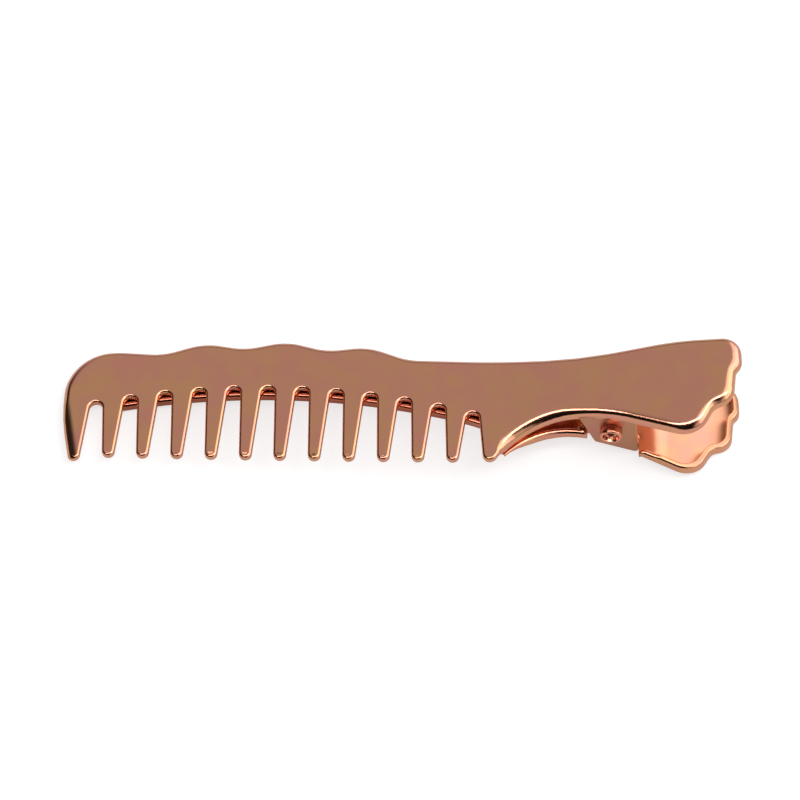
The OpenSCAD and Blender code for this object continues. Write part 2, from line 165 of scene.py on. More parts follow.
class ClipHingeSizes(PropertyGroup):
    """Sizes of the hinge and the spring."""

    tilt: angle("Tilt", "Tilt of the comb's plane on the table", 5.47348)
    pin_x: length("Pin place", "From the hook's tip to the pin", 12.8)
    pin_drop: length("Pin drop", "Drop of the pin below the handle's top", 3.75)
    pin_d: length("Pin diameter", "Diameter of the pin", 1.6)
    head_d: length("Head diameter", "Diameter of the pin's heads", 2.4)
    head_h: length("Head height", "Height of the pin's heads", 0.95)
    dimple_r: length("Dimple radius", "Radius of the hollow in the pin's heads", 0.8)
    dimple_h: length("Dimple depth", "Depth of the hollow in the pin's heads", 0.6)
    saddle_w: length("Saddle width", "Outside width of the saddle", 7.4)
    saddle_t: length("Saddle sheet", "Thickness of the saddle's sheet", 0.7)
    saddle_edge: length("Saddle edge", "Radius of the saddle's edges", 0.12)
    ear_front: length("Ear front", "Reach of an ear in front of the pin", 3.3)
    ear_rear: length("Ear rear", "Reach of an ear behind the pin", 2.7)
    ear_tail: length("Ear tail", "Length of an ear's rear below the lower arm", 1.0)
    side_clear: length("Side clearance", "Clearance between an ear and the lower arm", 0.15)
    wire_d: length("Wire", "Diameter of the spring's wire", 0.45)
    coil_r: length("Coil radius", "Radius of a coil, to the wire's centre", 1.3)
    bridge_w: length("Bridge", "Distance between the spring's middle strands", 1)
    leg_reach: length("Leg reach", "Reach of the spring's legs past the pin", 6.7)


class ClipFinish(PropertyGroup):
    """Colours and gloss of the finishes, with painted shade on the jaw and on the saddle."""

    rose: tint("Rose plating", "Colour of the rose plating", (0.935, 0.40, 0.28))
    rose_warm: tint("Warm rose", "Warm shade of the rose plating", (0.925, 0.45, 0.24))
    # Painted shade: the jaw's deeper colour stands in for the shade it lies in under the comb.
    rose_deep: tint("Deep rose", "Shade of the rose plating on the jaw", (0.55, 0.17, 0.10))
    lever_gloss: share("Lever roughness", "Roughness of the lever's brushed floor", 0.28)
    steel: tint("Spring steel", "Colour of the spring's wire", (0.72, 0.71, 0.70))
    gloss: share("Roughness", "Roughness of the polished plating", 0.09)
    flat_gloss: share("Flat roughness", "Roughness of the satin flats", 0.2)
    satin_gloss: share("Satin roughness", "Least roughness of the saddle's satin plating", 0.3)
    satin_rough: share("Satin grain", "Most roughness of the saddle's satin plating", 0.45)
    # Painted shade: this share darkens the saddle's colour for the shade its ears stand in under the sheet's
    # rim; its satin is the roughness.
    satin_dim: share("Satin shade", "Shade of the saddle's satin plating against the polished one", 0.75)
    floor: tint("Floor", "Colour of the floor", (0.42, 0.42, 0.42))


class ClipStage(PropertyGroup):
    """Camera and light."""

    camera_at: position("Camera", "Place of the camera", (0.0221, -0.3073, 0.4973))
    aim_at: position("Aim", "Point the camera looks at", (0.0, 0.0, 0.005))
    right: FloatVectorProperty(name="Camera right", description="Direction of the picture's right side",
                               size=3, default=(0.997, 0.0705, -0.010), subtype="DIRECTION")
    lens: FloatProperty(name="Lens", description="Focal length", default=245.0, min=1.0, unit="CAMERA")
    key: FloatProperty(name="Overhead light", description="Power of the overhead light", default=2.2,
                       unit="POWER")
    key_long: length("Overhead length", "Length of the overhead light", 1000)
    key_wide: length("Overhead width", "Width of the overhead light", 180)


def properties(group):
    """The group's own properties."""
    return [prop for prop in group.bl_rna.properties if prop.identifier not in ("rna_type", "name")]


def sizes(group):
    """The group's lengths in millimetres and its other values as they are."""
    values = {}
    for prop in properties(group):
        value = getattr(group, prop.identifier)
        values[prop.identifier] = value / MM if prop.unit == "LENGTH" and prop.type == "FLOAT" else value
    return type("Sizes", (), values)


def polar(radius, turn):
    """The vector of that length and angle."""
    return Vector((radius * cos(turn), radius * sin(turn)))


def at_height(point, turn, y):
    """Where a line through the point, at that angle, has the height y."""
    way = polar(1, turn)
    return point + way * ((y - point.y) / way.y)


QUARTER = pi / 2
TIP_LIFT = 0.003  # the end tips stay this far inside the solid's


def root_height(s, x):
    """Height of the slot ends' arc."""
    return s.slot_depth - s.root_arc_r + sqrt(s.root_arc_r ** 2 - (x - arc_middle(s)) ** 2)


def arc_middle(s):
    """Place of the deepest slot."""
    return -s.slots * s.pitch / 2 - s.arc_lead


def tooth_corners(s):
    """Corners [x, y, radius] of the teeth and slots, from the front tooth to the hook."""
    def tip(k):
        if k == s.slots:
            return Vector((-k * s.pitch - s.front_reach, s.front_tip_r + TIP_LIFT)), s.front_tip_r
        if k == 0:
            return Vector((s.hook_reach, s.hook_tip_r + TIP_LIFT)), s.hook_tip_r
        return Vector((-k * s.pitch, s.tip_r + s.tip_rise * (k / s.slots) ** 2)), s.tip_r

    def slot(k):
        x = (0.5 - k) * s.pitch
        return Vector((x, root_height(s, x) - s.root_r))

    def flank(k, to, way):
        centre, r = tip(k)
        d = (to - centre) * way
        return atan2(d.y, d.x) + way * asin((r + s.root_r) / d.length)

    corners = []
    for k in range(s.slots, -1, -1):
        centre, r = tip(k)
        into = s.front_lean - QUARTER if k == s.slots else flank(k, slot(k + 1), -1)
        out = QUARTER - s.hook_lean if k == 0 else flank(k, slot(k), 1)
        for turn in (into, out):
            corners.append((*at_height(centre + polar(r, turn - QUARTER), turn, centre.y - r), r))
        if k:
            top = slot(k).y + s.root_r
            after = flank(k - 1, slot(k), -1)
            for turn in (out, after):
                corners.append((*at_height(slot(k) + polar(s.root_r, turn + QUARTER), turn, top), s.root_r))
    return corners


HOOK_R, NECK_R, WAIST_R, SHOULDER_R, KNEE_R = 9.3, 14, 40, 25, 20  # radii of the rim's long curves
NECK_LEAD, WAIST_LEAD, SHOULDER_BACK = 0.4, 3.8, 7.2  # places of the neck, waist and shoulder
KNEE_Y, CORNER_OUT, CORNER_LOW = 5, 0.25, 0.2  # the front corner and the knee below it
CREST_SHARE, CREST_MORE = 0.15, 3  # height and arc of the back's crests
# Corners of the handle's end: distance from the end, share of the end's width, radius
HANDLE_END = ((-4.45, 0, 2.6), (-2.8, 0.285, 1.2), (-0.75, 0.355, 2),
              (-0.65, 0.64, 0.8), (0, 0.7, 1.5), (-0.3, 1, 2.2))


def hook_side(s):
    """Where the hook's round tip meets its outer flank."""
    return Vector((s.hook_reach, s.hook_tip_r)) + polar(s.hook_tip_r, -s.hook_lean)


def rim_corners(s, pin_x):
    """Corners of the outline from the hook round the handle and along the back to the front tooth."""
    hook_end = hook_side(s)
    front_x = -s.slots * s.pitch - s.front_reach
    front_end = Vector((front_x, s.front_tip_r)) + polar(s.front_tip_r, s.front_lean - pi)
    width = s.handle_far - s.handle_near
    corners = [(hook_end.x + (s.neck_near - hook_end.y) * tan(s.hook_lean), s.neck_near, HOOK_R),
               (pin_x - NECK_LEAD, s.neck_near, NECK_R)]
    corners += [(s.handle_len + x, s.handle_near + part * width, r) for x, part, r in HANDLE_END]
    corners += [(s.handle_len - SHOULDER_BACK, s.handle_far, SHOULDER_R),
                (pin_x - WAIST_LEAD, s.neck_far, WAIST_R)]
    wave = (s.slots * s.pitch - s.first_crest - s.last_crest) / (s.crests - 1)
    crest_r = s.root_arc_r + CREST_MORE
    for k in range(2 * s.crests):
        x = -s.first_crest - (k - 1) * wave / 2
        y = s.slot_depth + s.back_w - crest_r + sqrt(crest_r ** 2 - (x - arc_middle(s)) ** 2)
        corners.append((x, y + s.wave_h * (CREST_SHARE - (k % 2 == 0)), s.wave_r))
    knee_x = front_end.x - (KNEE_Y - front_end.y) * tan(s.front_lean)
    corners += [(knee_x - CORNER_OUT, corners[-1][1] - CORNER_LOW, s.front_r), (knee_x, KNEE_Y, KNEE_R)]
    return corners


ARC_STEP = radians(7)
SNUG = 0.985  # neighbouring round corners keep a little straight edge between them


def round_corners(bm, corners, step=ARC_STEP):
    """Draws a polygon and rounds each corner; returns its vertices in order with each one's corner number."""
    points = [Vector(c[:2]) for c in corners]
    verts = [bm.verts.new((*p, 0)) for p in points]
    bm.faces.new(verts)
    corner = {}
    for i, (vert, (_, _, r)) in enumerate(zip(verts, corners)):
        corner[vert] = i
        if not r:
            continue
        before = (points[i - 1] - points[i]).normalized()
        after = (points[(i + 1) % len(points)] - points[i]).normalized()
        half = before.angle(after) / 2
        steps = max(2, ceil((pi - 2 * half) / step))
        made = bmesh.ops.bevel(bm, geom=[vert], offset=SNUG * r / tan(half), offset_type="OFFSET",
                               segments=steps, profile=0.5, affect="VERTICES", material=-1,
                               clamp_overlap=False)
        for v in made["verts"]:
            corner[v] = i
    bm.faces.ensure_lookup_table()
    ring = [loop.vert for loop in bm.faces[0].loops]
    bmesh.ops.delete(bm, geom=bm.faces[:], context="FACES_KEEP_BOUNDARY")
    return ring, [corner[v] for v in ring]


def divided(bm, ring, corner, first, longest):
    """Divides the ring's long edges from a corner number on, so that sections can change along them."""
    new_ring, new_corner = [], []
    for i, v in enumerate(ring):
        new_ring.append(v)
        new_corner.append(corner[i])
        far = ring[(i + 1) % len(ring)]
        cuts = ceil((far.co - v.co).length / longest) - 1
        if cuts < 1 or max(corner[i], corner[(i + 1) % len(ring)]) < first:
            continue
        for left in range(cuts + 1, 1, -1):
            _, v = bmesh.utils.edge_split(bm.edges.get((v, far)), v, 1 / left)
            new_ring.append(v)
            new_corner.append(max(corner[i], corner[(i + 1) % len(ring)]))
    return new_ring, new_corner


def loft(bm, ring, sections, left=None):
    """Sweeps each point's section [inset, height] round a closed ring and closes the first and last rows."""
    points = [v.co.xy for v in ring]
    left = left or inward(points)
    row = ring
    for k, spots in enumerate(zip(*sections)):
        placed = [(*(p + n * inset), z) for p, n, (inset, z) in zip(points, left, spots)]
        if k:
            row = next_row(bm, row, placed)
        else:
            for v, spot in zip(row, placed):
                v.co = spot
    fill(bm, ring)
    fill(bm, row)


CUT_DIST, MERGE_DIST = 1e-5, 1e-4  # distances below which a cut or a merge takes points as one


def cut(bm, places, start=(0, 0), way=(1, 0)):
    """Cuts the mesh across at the places along a way in plan."""
    for place in places:
        at = (start[0] + way[0] * place, start[1] + way[1] * place, 0)
        bmesh.ops.bisect_plane(bm, geom=bm.verts[:] + bm.edges[:] + bm.faces[:], dist=CUT_DIST,
                               plane_co=at, plane_no=(*way, 0))


def bend(bm, places, height):
    """Cuts the mesh across at the places and lifts every vertex by the height at its x."""
    cut(bm, places)
    for v in bm.verts:
        v.co.z += height(v.co.x)


def steps_between(low, high, cuts):
    """Evenly spaced numbers from low to high, with one more just outside each end."""
    gap = (high - low) / cuts
    return [low - gap / 4] + [low + gap * k for k in range(cuts + 1)] + [high + gap / 4]


SHARPEST = 0.5  # limits how far sharp corners move
SPREADS = 3  # smoothing takes in points up to this many smoothing lengths away


def neighbours(row):
    """Each item of a closed row, between the one before it and the one after it."""
    return zip(row[-1:] + row[:-1], row, row[1:] + row[:1])


def inward(points):
    """Unit vectors that point to the left of a closed path, stretched so that edges move evenly."""
    vectors = []
    for before, p, after in neighbours(points):
        into, out = (p - before).normalized(), (after - p).normalized()
        left = Vector((-into.y - out.y, into.x + out.x)).normalized()
        vectors.append(left / max(SHARPEST, left.dot(Vector((-into.y, into.x)))))
    return vectors


def softened(points, vectors, reach, spread):
    """The vectors, changed so that the path moved in by the reach is smooth over each point's spread."""
    inner = [p + n * r for p, n, r in zip(points, vectors, reach)]
    gaps = [(after - p).length for _, p, after in neighbours(points)]
    changed = list(vectors)
    for i, width in enumerate(spread):
        if width <= 0:
            continue
        total, weight = Vector((0, 0)), 0.0
        for way in (1, -1):
            away, j = 0.0, i
            while away < SPREADS * width:
                part = (gaps[j - 1] + gaps[j]) * exp(-(away / width) ** 2 / 2) / (2 if j == i else 1)
                total, weight = total + inner[j] * part, weight + part
                away += gaps[j] if way == 1 else gaps[j - 1]
                j = (j + way) % len(points)
        changed[i] = (total / weight - points[i]) / reach[i]
    return changed


def edges_of(bm, row):
    """The edges of a closed row of vertices."""
    return [bm.edges.get(pair) for pair in zip(row, row[1:] + row[:1])]


def next_row(bm, row, spots):
    """Extrudes a closed row of vertices and moves the new row to its spots."""
    made = bmesh.ops.extrude_edge_only(bm, edges=edges_of(bm, row))["geom"]
    fresh = {v for v in made if isinstance(v, bmesh.types.BMVert)}
    twins = []
    for v, spot in zip(row, spots):
        twin = next(e.other_vert(v) for e in v.link_edges if e.other_vert(v) in fresh)
        twin.co = spot
        twins.append(twin)
    return twins


def fill(bm, row):
    """Closes a flat row of vertices."""
    bmesh.ops.triangle_fill(bm, edges=edges_of(bm, row), use_beauty=True, use_dissolve=False)


def eased(value):
    """Smooth step from 0 to 1."""
    t = min(1.0, max(0.0, value))
    return t * t * (3 - 2 * t)


def evened(values, passes):
    """A closed row of numbers, smoothed by lowering only."""
    for _ in range(passes):
        values = [min(v, (before + v + after) / 3) for before, v, after in neighbours(values)]
    return values


def quarter(steps):
    """Points of a round edge: how far each one still is from its first side, and how far from its last."""
    turns = [QUARTER * k / steps for k in range(steps + 1)]
    return [(1 - sin(t), 1 - cos(t)) for t in turns]


def spaced(start, stop, parts):
    """Evenly spaced numbers from start to stop."""
    return [start + (stop - start) * k / parts for k in range(parts + 1)]


def soft_step(u, lead):
    """0 before a bend, u after it, and a smooth curve in between."""
    if abs(u) >= lead:
        return max(0.0, u)
    return (u + lead) ** 2 / (4 * lead)


def top_curve(s, x):
    """Height of the upper sheet's top at x: flat comb, bend, rising handle."""
    return tan(s.rise) * soft_step(x, s.bend_r * tan(s.rise / 2))


def clip_to_row(scene):
    """Matrix from the clip's own frame in millimetres to the row frame in metres."""
    c, h = sizes(scene.clip_comb), sizes(scene.clip_hinge)
    pin = Vector((h.pin_x, (c.neck_near + c.neck_far) / 2, h.pin_x * tan(c.rise) - h.pin_drop))
    turn = Matrix.Rotation(-h.tilt, 4, "Y")
    return Matrix.Translation(PIN_ROW) @ turn @ Matrix.Scale(MM, 4) @ Matrix.Translation(-pin)


def placed(name, data):
    """A new object in the scene."""
    thing = bpy.data.objects.new(name, data)
    bpy.context.scene.collection.objects.link(thing)
    return thing


def finish_piece(bm, name, body, node, material):
    """Turns a bmesh into a shaded piece that rides on a body and stands for a CAD node."""
    bmesh.ops.transform(bm, matrix=clip_to_row(bpy.context.scene), verts=bm.verts)
    bmesh.ops.recalc_face_normals(bm, faces=bm.faces)
    for f in bm.faces:
        f.smooth = True
    mesh = bpy.data.meshes.new(name)
    bm.to_mesh(mesh)
    bm.free()
    if not mesh.polygons:
        raise RuntimeError(f"{name} has no faces")
    mesh.materials.append(material)
    piece = placed(name, mesh)
    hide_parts(node)
    if body:
        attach(piece, body)
    return piece


class Nodes:
    """The node tree of a material or a world, emptied for new nodes."""

    def __init__(self, owner):
        owner.use_nodes = True
        self.tree = owner.node_tree
        self.tree.nodes.clear()

    def add(self, kind, *inputs, **settings):
        """Adds a node with its inputs [key, value or another node's output] and returns its outputs."""
        node = self.tree.nodes.new("ShaderNode" + kind)
        for key, value in settings.items():
            setattr(node, key, value)
        for key, value in inputs:
            if isinstance(value, bpy.types.NodeSocket):
                self.tree.links.new(value, node.inputs[key])
            else:
                node.inputs[key].default_value = value
        return node.outputs

    def math(self, operation, *values):
        """The result of an operation on values."""
        return self.add("Math", *enumerate(values), operation=operation)["Value"]

    def mix(self, kind, factor, first, second):
        """A mix of two numbers or colours."""
        return self.add("Mix", ("Factor", factor), ("A", first), ("B", second), data_type=kind)["Result"]

    def ramp(self, value, start, stop, first=0.0, last=1.0):
        """A smooth step of a value, from first at start to last at stop."""
        spans = (("From Min", start), ("From Max", stop), ("To Min", first), ("To Max", last))
        return self.add("MapRange", ("Value", value), *spans, interpolation_type="SMOOTHSTEP")["Result"]

    def noise(self, where, scale, detail):
        """A fine noise."""
        return self.add("TexNoise", ("Vector", where), ("Scale", scale), ("Detail", detail))["Fac"]

    def between(self, value, low, high):
        """A value from 0 to 1, changed to lie between low and high."""
        return self.add("MapRange", ("Value", value), ("To Min", low), ("To Max", high))["Result"]

    def surface(self, inputs):
        """Ends a material with one surface that has these inputs."""
        self.add("OutputMaterial", ("Surface", self.add("BsdfPrincipled", *inputs.items())["BSDF"]))


GRAIN = "grain"  # name of the map that gives the direction of brushing
DRIFT_SCALE, DRIFT = 330.0, (0.32, 0.68)  # size of the drift between two shades, and the noise it spans
GRAIN_SCALE, GRAIN_DETAIL, GRAIN_BUMP, GRAIN_DEPTH = 9000.0, 3.0, 0.1, 0.00005
LEVER_X, FLAT_Z = (0.0256, 0.0292), (0.75, 0.9)  # where the brushed floor begins, and tilt of its faces
GRAIN_LEAN = -0.4  # the brushed grain leans to the lever's end with this slope
JAW_X = (0.006, 0.012)  # where the jaw's painted shade, a deeper colour standing in for the shade under the comb, ends
STEEL_SCALE, STEEL_DETAIL, STEEL_ROUGH = 4000.0, 2.0, (0.16, 0.3)


def plating(name, finish, satin=False, brushed=False):
    """Rose plating: polished metal with a faint drift between two shades and a fine satin grain; the satin
    kind is also darker, which is painted shade.
    """
    low, high, dim = finish.gloss, finish.flat_gloss, 1.0
    if satin:
        # With satin, dim darkens the colour: painted shade on the saddle.
        low, high, dim = finish.satin_gloss, finish.satin_rough, finish.satin_dim
    material = bpy.data.materials.new(name)
    nodes = Nodes(material)
    where = nodes.add("TexCoord")["Object"]
    drift, grain = (nodes.noise(where, scale, GRAIN_DETAIL) for scale in (DRIFT_SCALE, GRAIN_SCALE))
    shades = [(*(dim * part for part in rose), 1) for rose in (finish.rose, finish.rose_warm)]
    bump = (("Strength", GRAIN_BUMP), ("Distance", GRAIN_DEPTH), ("Height", grain))
    inputs = {"Metallic": 1.0, "Base Color": nodes.mix("RGBA", nodes.ramp(drift, *DRIFT), *shades),
              "Roughness": nodes.between(grain, low, high), "Normal": nodes.add("Bump", *bump)["Normal"]}
    # brushed also gives the jaw its painted shade, a deeper colour.
    if brushed:
        inputs.update(brush(nodes, where, finish, inputs))
    nodes.surface(inputs)
    return material


def brush(nodes, where, finish, plain):
    """Inputs of the plating that has painted shade on the jaw, a deeper colour for the shade under the comb,
    and is brushed across on the lever's floor.
    """
    x = nodes.add("SeparateXYZ", ("Vector", where))["X"]
    up = nodes.add("SeparateXYZ", ("Vector", nodes.add("NewGeometry")["Normal"]))["Z"]
    floor = nodes.math("MULTIPLY", nodes.ramp(x, *LEVER_X), nodes.ramp(up, *FLAT_Z))
    lean = (("Strength", floor), ("Distance", 1.0), ("Height", nodes.math("MULTIPLY", x, GRAIN_LEAN)))
    return {
        # Painted shade: a deeper colour on the jaw, fading out over JAW_X.
        "Base Color": nodes.mix("RGBA", nodes.ramp(x, *JAW_X), (*finish.rose_deep, 1), plain["Base Color"]),
        "Roughness": nodes.mix("FLOAT", floor, plain["Roughness"], finish.lever_gloss),
        "Normal": nodes.add("Bump", *lean, ("Normal", plain["Normal"]))["Normal"],
        "Anisotropic": floor,
        "Tangent": nodes.add("Tangent", direction_type="UV_MAP", uv_map=GRAIN)["Tangent"],
    }


def spring_steel(finish):
    """Drawn spring wire: bright steel with faint streaks."""
    material = bpy.data.materials.new("drawn_steel")
    nodes = Nodes(material)
    streaks = nodes.noise(nodes.add("TexCoord")["Object"], STEEL_SCALE, STEEL_DETAIL)
    nodes.surface({"Metallic": 1.0, "Base Color": (*finish.steel, 1),
                   "Roughness": nodes.between(streaks, *STEEL_ROUGH)})
    return material


ROUND_STEPS, UNDER_STEPS = 9, 3  # steps round the top edge and round the under edge
FLAT_LIP = 0.06  # width of the flat strip next to a rounded edge
TOOTH_STEP = 0.03  # width of the rim's rows on the underside of the teeth
RIM_LEAN = 0.7  # depth of the rim's inner edge, as a share of the rim's
EDGE_MOST, EDGE_PASSES = 0.9, 6  # an edge's most radius as a share of its corner's, and its smoothing
STRAIGHT = 1e-6  # a smaller turn is a straight edge
HOOK_TAPER = 1.2  # length over which edge radius and rim fade out at the hook's tip
FRONT_TAPER, FRONT_LEAD = 7.0, 4.0  # the same at the front, where it starts this far from the tip
ROLL_FROM, ROLL_WAY = Vector((-45.9, 10.5)), Vector((-0.976, -0.217))  # where the front rolls down
ROLL_TURN, ROLL_REACH, ROLL_CUTS = radians(46), 4, 12
GRIP_FROM, GRIP_TO = 6.0, 21.5  # the stretch of the handle's near edge with the smaller radius
GRIP_IN, GRIP_OUT = 5.0, 2.5  # lengths over which the radius changes there
END_SPREAD, END_FROM, END_RUN = 0.9, 6.0, 3.0  # smoothing of the flat's outline at the handle's end
BEND_CUTS, LONG_EDGE = 10, 0.45


def comb_outline(bm, c, pin_x):
    """The upper sheet's outline as a ring, with each vertex's corner radius and whether it's on the rim."""
    teeth = tooth_corners(c)
    corners = teeth + rim_corners(c, pin_x)
    ring, corner = divided(bm, *round_corners(bm, corners), len(teeth), LONG_EDGE)
    return ring, [corners[i][2] for i in corner], [i >= len(teeth) for i in corner]


class CLIP_OT_comb_plate(Operator):
    """Builds the upper sheet: comb, wavy back and handle, with its rounded edge and turned-down rim"""

    bl_idname = "clip.comb_plate"
    bl_label = "Comb plate"

    def execute(self, context):
        c, h = sizes(context.scene.clip_comb), sizes(context.scene.clip_hinge)
        bm = bmesh.new()
        ring, radii, on_rim = comb_outline(bm, c, h.pin_x)
        points = [v.co.xy for v in ring]
        rimmed = self.rim_share(points, on_rim, c)
        edge = [c.tooth_edge_r + (self.edge_radius(p, c) - c.tooth_edge_r) * part
                for p, part in zip(points, rimmed)]
        convex = [(p - before).cross(after - p) > STRAIGHT for before, p, after in neighbours(points)]
        edge = [min(e, EDGE_MOST * r) if turn else e for e, r, turn in zip(edge, radii, convex)]
        edge = evened(edge, EDGE_PASSES)
        spread = [END_SPREAD * eased((p.x - c.handle_len + END_FROM) / END_RUN) for p in points]
        left = softened(points, inward(points), [e + FLAT_LIP for e in edge], spread)
        loft(bm, ring, [self.section(c, e, part) for e, part in zip(edge, rimmed)], left)
        lead = c.bend_r * tan(c.rise / 2)
        self.roll_front(bm, c)
        bend(bm, steps_between(-lead, lead, BEND_CUTS), lambda x: top_curve(c, x))
        finish_piece(bm, "comb_plate_shell", "upper", "comb_plate",
                     plating("polished_rose", context.scene.clip_finish))
        return {"FINISHED"}

    @staticmethod
    def rim_share(points, on_rim, c):
        """0 along the teeth, 1 along the rim, with a smooth change at the hook and the front tooth."""
        hook = Vector((c.hook_reach, c.hook_tip_r))
        front = Vector((-c.slots * c.pitch - c.front_reach, c.front_tip_r))
        return [eased(((p - hook).length - c.hook_tip_r) / HOOK_TAPER)
                * eased(((p - front).length - FRONT_LEAD) / FRONT_TAPER) if rim else 0.0
                for p, rim in zip(points, on_rim)]

    @staticmethod
    def edge_radius(p, c):
        """Radius of the outer edge at a point of the rim; it's smaller along the handle's near edge."""
        near = p.y < (c.neck_near + c.neck_far) / 2
        slim = eased((p.x - GRIP_FROM) / GRIP_IN) * eased((GRIP_TO - p.x) / GRIP_OUT) if near else 0
        return c.edge_r + (c.grip_edge_r - c.edge_r) * slim

    @staticmethod
    def roll_front(bm, c):
        """Rolls the top of the front tooth's outer side down; its underside stays."""
        span = c.roll_r * sin(ROLL_TURN)
        cut(bm, spaced(0, span, ROLL_CUTS)[:-1], ROLL_FROM, ROLL_WAY)
        for v in bm.verts:
            u = min(span, (v.co.xy - ROLL_FROM).dot(ROLL_WAY))
            if u > 0 and v.co.x < ROLL_FROM.x + ROLL_REACH:
                drop = c.roll_r - sqrt(c.roll_r ** 2 - u ** 2)
                v.co.z -= drop * max(0.0, 1 + v.co.z / c.sheet)

    @staticmethod
    def section(c, edge, part):
        """The sheet's section at one point of the outline, from its top inwards round to its underside."""
        deep = c.sheet + (c.rim_h - c.sheet) * part
        under = c.tooth_under_r + (c.under_r - c.tooth_under_r) * part
        rows = [(edge + FLAT_LIP, 0)]
        rows += [(edge * first, -edge * last) for first, last in quarter(ROUND_STEPS)]
        rows += [(under * last, under * first - deep) for first, last in quarter(UNDER_STEPS)]
        inset = under + TOOTH_STEP + (c.rim_t - 2 * under - TOOTH_STEP) * part
        rows.append((inset, -deep))
        inset += TOOTH_STEP + (under - TOOTH_STEP) * part
        rows.append((inset, -c.sheet - (deep - c.sheet) * RIM_LEAN))
        for _ in range(2):
            inset += TOOTH_STEP
            rows.append((inset, -c.sheet))
        return rows


RAMP_X, CORNER_LEAD = -2.0, 0.8  # where the lower arm bends down, and bends again in front of the pin
RAMP_LEAD, CORNER_SOFT = 2.35, 1.05  # half lengths of these bends
RAMP_CUTS, CORNER_CUTS = 8, 6  # cuts across them
ARM_FROM, JAW_STEP = 1.6, 2.0  # on the far side the arm comes out from under the rim here
STEP_RUN, STEP_PARTS = 0.06, 12  # length and division of the steps where the arm narrows
EAR_ROOM, EAR_GAP = 0.66, 0.03  # places of these steps behind an ear's front and rear
JAW_ROUND, JAW_LEAD, JAW_PARTS = 1.8, 2.52, 26  # the jaw's front: radius and length; division of its sides
LOBE_UP, LOBE_STEP = 1.5, Vector((-0.7, 0.4))  # the arm's lobe beside the hook: place, and step to its front
LOBE_THIN, LOBE_RUN = 0.3, 4.0  # share of the arm's height at the lobe; length of the change
LOBE_SLIM, SLIM_RUN = 0.2, 5.5  # the same for the width of its lip
BOSS_WALL, BOSS_PARTS, BOSS_SIDE = 0.7, 14, 0.6  # wall over the pin, division, share of the sides that slopes
LIP_RUN, LIP_LEAST = 0.4, 0.12  # the lip rises over this length at the step; its least share of width
LEVER_LIP, LEVER_RUN = 1.6, 1.2  # the lip is higher along the lever by this factor; length of the change
LIP_STEPS, SAME = 5, 0.01  # steps round the lip's edges; points closer than this are the same


